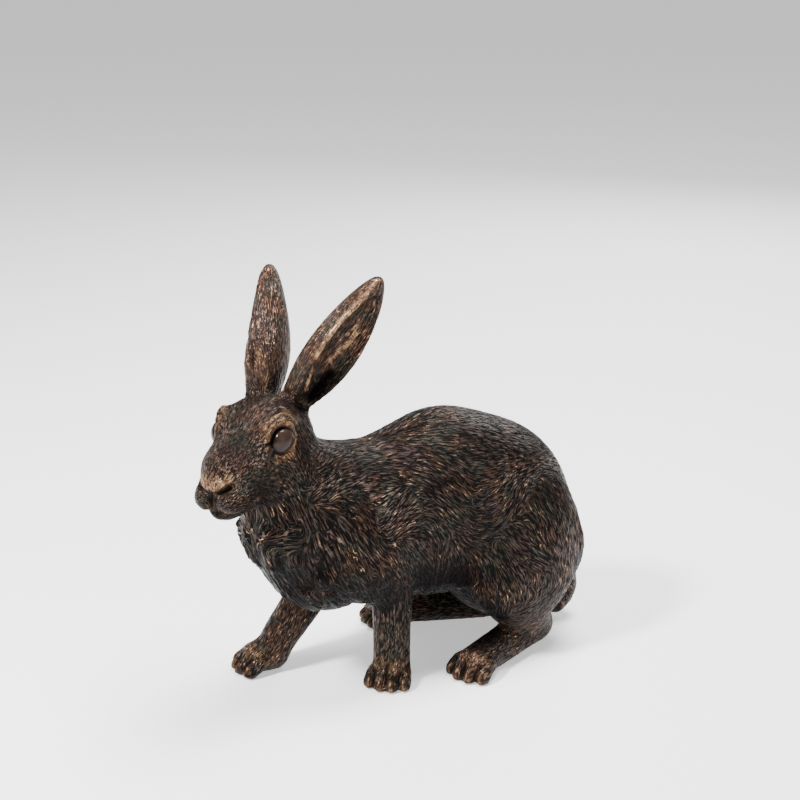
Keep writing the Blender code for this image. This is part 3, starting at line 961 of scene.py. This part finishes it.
def hair_strokes(graph, place, cell, width, length, offset):
    """Strokes that follow the hair, as a height over the gaps between them and a number each.

    They run in tufts, and each tuft's strokes are laid out from its own middle."""
    moved = graph.vector("ADD", place, (offset, offset * 0.7, offset * 1.3))
    tuft = graph.node("ShaderNodeTexVoronoi", {"feature": "F1"}, Vector=moved, Scale=1 / cell)
    shift = graph.vector("DOT_PRODUCT", tuft[1], TUFT_SHIFT)
    away = graph.vector("SUBTRACT", moved, tuft[2])
    across = graph.vector("DOT_PRODUCT", away, graph.direction("side")) / width + shift
    along = graph.vector("DOT_PRODUCT", away, graph.direction("flow")) / length + shift
    laid = graph.node("ShaderNodeCombineXYZ", {}, across, along, 0.0)[0]
    stroke = graph.node("ShaderNodeTexVoronoi", {"feature": "F1", "voronoi_dimensions": "2D"},
                        Vector=laid, Scale=1.0)
    crest = (1.1 - stroke[0] * 1.9).clamped()
    return crest, graph.vector("DOT_PRODUCT", stroke[1], (1.0, 0.0, 0.0))


class Patina:
    """The bronze's finish, from the numbers and directions that the skin has at each point."""

    def __init__(self, graph):
        self.graph = graph
        self.place = graph.scaled(graph.node("ShaderNodeTexCoord", {})[3], 1 / MM)
        self.handled = graph.number("handled")
        self.bare = graph.number("bare")
        self.eye = graph.number("eye")
        length = graph.number("length")
        width = length * 0.035 + 0.9
        broad, self.own = hair_strokes(graph, self.place, BROAD_TUFT, width, length * 0.85, 0.0)
        fine, _ = hair_strokes(graph, self.place, FINE_TUFT, width * 0.75, length * 0.7, FINE_OFFSET)
        self.strokes = broad.most(fine * 0.8) * (1 - self.bare) + self.bare * 0.5
        raised = graph.number("relief") * 0.26 + self.strokes * 0.9
        self.ridge = (raised - 0.12 + self.handled * 0.06).clamped()
        self.mottle = graph.noise(self.place, 0.35, detail=3.0)
        self.specks = graph.noise(self.place, 0.8, detail=2.0)

    def aged(self):
        """Black in the gaps between the strokes, partly patina and partly painted shade, browns on the
        worn crests, copper where hands go, and gold flecks that also serve as painted glints.
        """
        graph = self.graph
        patches = graph.noise(self.place, 0.045, detail=3.0)
        other = graph.noise(graph.vector("ADD", self.place, OTHER_PATCHES), 0.06, detail=2.0)
        tint = graph.blend(patches.step(0.42, 0.58), MAUVE_BROWN, GREEN_BROWN)
        tint = graph.blend(other.step(0.48, 0.62), tint, RED_BROWN)
        copper_share = self.mottle.step(0.45, 0.65) * (0.12 + self.handled * 0.36)
        tint = graph.blend(copper_share, tint, COPPER)
        # Painted shade, partly patina: near black in the gaps between the strokes, darkest where they
        # are lowest.
        gap_patina_and_shade = graph.blend(patches.step(0.4, 0.6), UMBER_BLACK, GREEN_BLACK)
        wear_and_gap_shade = self.ridge.step(0.25, 0.85) * (0.5 + self.own * 0.5)
        wear_and_gap_shade = wear_and_gap_shade * (0.85 + self.handled * 0.35) + self.handled * self.handled * 0.21
        colour = graph.blend(wear_and_gap_shade.clamped(), gap_patina_and_shade, tint)
        # Painted glints, partly real gold flecks: gold on the highest crests of some strokes.
        flecks_and_glints = self.ridge.step(0.68, 0.95) * self.own.step(0.74, 0.88) * self.specks.step(0.42, 0.56)
        flecks_and_glints = flecks_and_glints * (0.15 + other.step(0.42, 0.6) * 0.85)
        return graph.blend(flecks_and_glints * 0.9, colour, GOLD)

    def rubbed(self, colour):
        """Copper and gold where the bench rubbed the patina through, with painted highlights on the
        near ear's fold and the far ear's rim.
        """
        graph = self.graph
        share = graph.number("rubbed") * (0.2 + self.ridge.step(0.1, 0.6) * 0.9)
        share = share * (0.25 + self.specks.step(0.4, 0.56) * 0.8)
        bright = graph.blend(self.mottle.step(0.42, 0.6) * self.ridge, COPPER, GOLD)
        return graph.blend(share.clamped(), colour, bright)

    def colour(self):
        graph = self.graph
        colour = graph.blend(self.eye, self.rubbed(self.aged()), EYE_BROWN)
        # Painted shade: near black in the chased hollows, under the lids and on the undersides.
        return graph.blend(graph.number("darkened") * 0.97, colour, UMBER_BLACK)

    def roughness(self):
        metal = 0.62 - self.ridge * 0.34 + (self.mottle - 0.5) * 0.12
        return (metal * (1 - self.eye) + self.eye * EYE_ROUGHNESS).clamped()

    def metallic(self):
        return (self.ridge.step(0.1, 0.6) * 0.95 * (1 - self.eye)).clamped()

    def relief(self):
        """The height of the fine strokes and of the casting's pits, none on the eyes."""
        pits = self.graph.noise(self.place, 2.2, detail=2.0)
        strokes = self.strokes * (1 - self.bare)
        return (strokes * STROKE_BUMP + pits * PIT_BUMP) * (1 - self.eye)


def patinated_bronze():
    graph = Graph("patinated_bronze")
    patina = Patina(graph)
    inputs = graph.shader.inputs
    graph.feed(inputs["Base Color"], patina.colour())
    graph.feed(inputs["Roughness"], patina.roughness())
    graph.feed(inputs["Metallic"], patina.metallic())
    graph.feed(inputs["Coat Weight"], patina.eye * EYE_COAT)
    inputs["Coat Roughness"].default_value = EYE_COAT_ROUGHNESS
    inputs["Specular IOR Level"].default_value = GAP_SPECULAR
    bump = graph.node("ShaderNodeBump", {}, Strength=1.0, Distance=MM, Height=patina.relief())[0]
    graph.feed(inputs["Normal"], bump)
    return graph.material


# The finished piece

def give_numbers(mesh, name, values):
    kind = "FLOAT_VECTOR" if values.ndim == 2 else "FLOAT"
    layer = mesh.attributes.new(name, kind, "POINT")
    key = "vector" if values.ndim == 2 else "value"
    layer.data.foreach_set(key, values.astype(np.float32).ravel())


def nearest_rows(source, targets):
    tree = KDTree(len(source))
    for index, point in enumerate(source):
        tree.insert(point, index)
    tree.balance()
    return np.array([tree.find(point)[1] for point in targets])


def work_skin(body):
    """Chases the skin and cuts the coat into it. Returns what each of its points is given."""
    surface = Surface(body)
    comb = Comb(surface)
    bench = Bench(read_points(body.data))
    chase_face(bench, surface)
    chase_ears(bench, surface)
    chase_paws(bench, surface)
    shaped = bench.points + bench.raised[:, None] * read_normals(body.data)
    points = set_eyes(shaped, bench)
    write_points(body.data, points)

    normals = read_normals(body.data)
    relief, depth = cut_coat(points, normals, comb)
    bare = np.clip(bench.bare, 0, 1)
    points = points + ((relief - SKIN_LEVEL) * depth * (1 - bare))[:, None] * normals
    write_points(body.data, points)

    flow = comb.way_at(points, normals)
    return points, {
        "relief": relief,
        "rubbed": bench.rubbed,
        "flow": flow,
        "side": np.cross(normals, flow),
        # Painted shade: the dark of the chased hollows, and painted shade on the undersides.
        "darkened": np.maximum(bench.darkened, painted_underside_shade(points, normals)),
        "bare": bare,
        "handled": how_handled(points),
        "length": coat_by_place(points)[0],
    }


def painted_underside_shade(points, normals):
    """Painted shade on the undersides: how much each point faces down, less so under the head."""
    facing_down = smooth_step(normals[:, 2], 0.15, -0.6) * smooth_step(points[:, 2], 20, 45)
    return facing_down * (1.0 - 0.55 * smooth_step(points[:, 2], 130, 170))


def thin_out(body, low, high):
    """Joins the facets that the skin can spare, and keeps the rest inside the CAD box."""
    triangles = 2 * len(body.data.polygons)
    baked(body, "DECIMATE", ratio=min(1.0, SKIN_TRIANGLES / triangles))
    baked(body, "TRIANGULATE")
    points = np.clip(read_points(body.data), low, high)
    write_points(body.data, points)
    return points


def dress_rabbit(node, low, high):
    body = fine_skin(node)
    worked, fields = work_skin(body)
    points = thin_out(body, low, high)
    rows = nearest_rows(worked, points)
    given = {name: values[rows] for name, values in fields.items()}
    given["eye"], shadow = eye_numbers(points)
    # Adds the painted shadow under the lids to the painted shade.
    given["darkened"] = np.maximum(given["darkened"], shadow)
    for name, values in given.items():
        give_numbers(body.data, name, values)
    body.data.materials.clear()
    body.data.materials.append(patinated_bronze())
    body.data.shade_smooth()
    body.name = "rabbit_casting"
    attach(body, "root")
    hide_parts("rabbit")


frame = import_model()
cad_low, cad_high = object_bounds()
place_camera()
light_the_stage()
lay_floor()
edge_low = np.array(cad_low) / MM - FIGURE_ORIGIN
edge_high = np.array(cad_high) / MM - FIGURE_ORIGIN
dress_rabbit(frame["nodes"]["rabbit"], edge_low, edge_high)
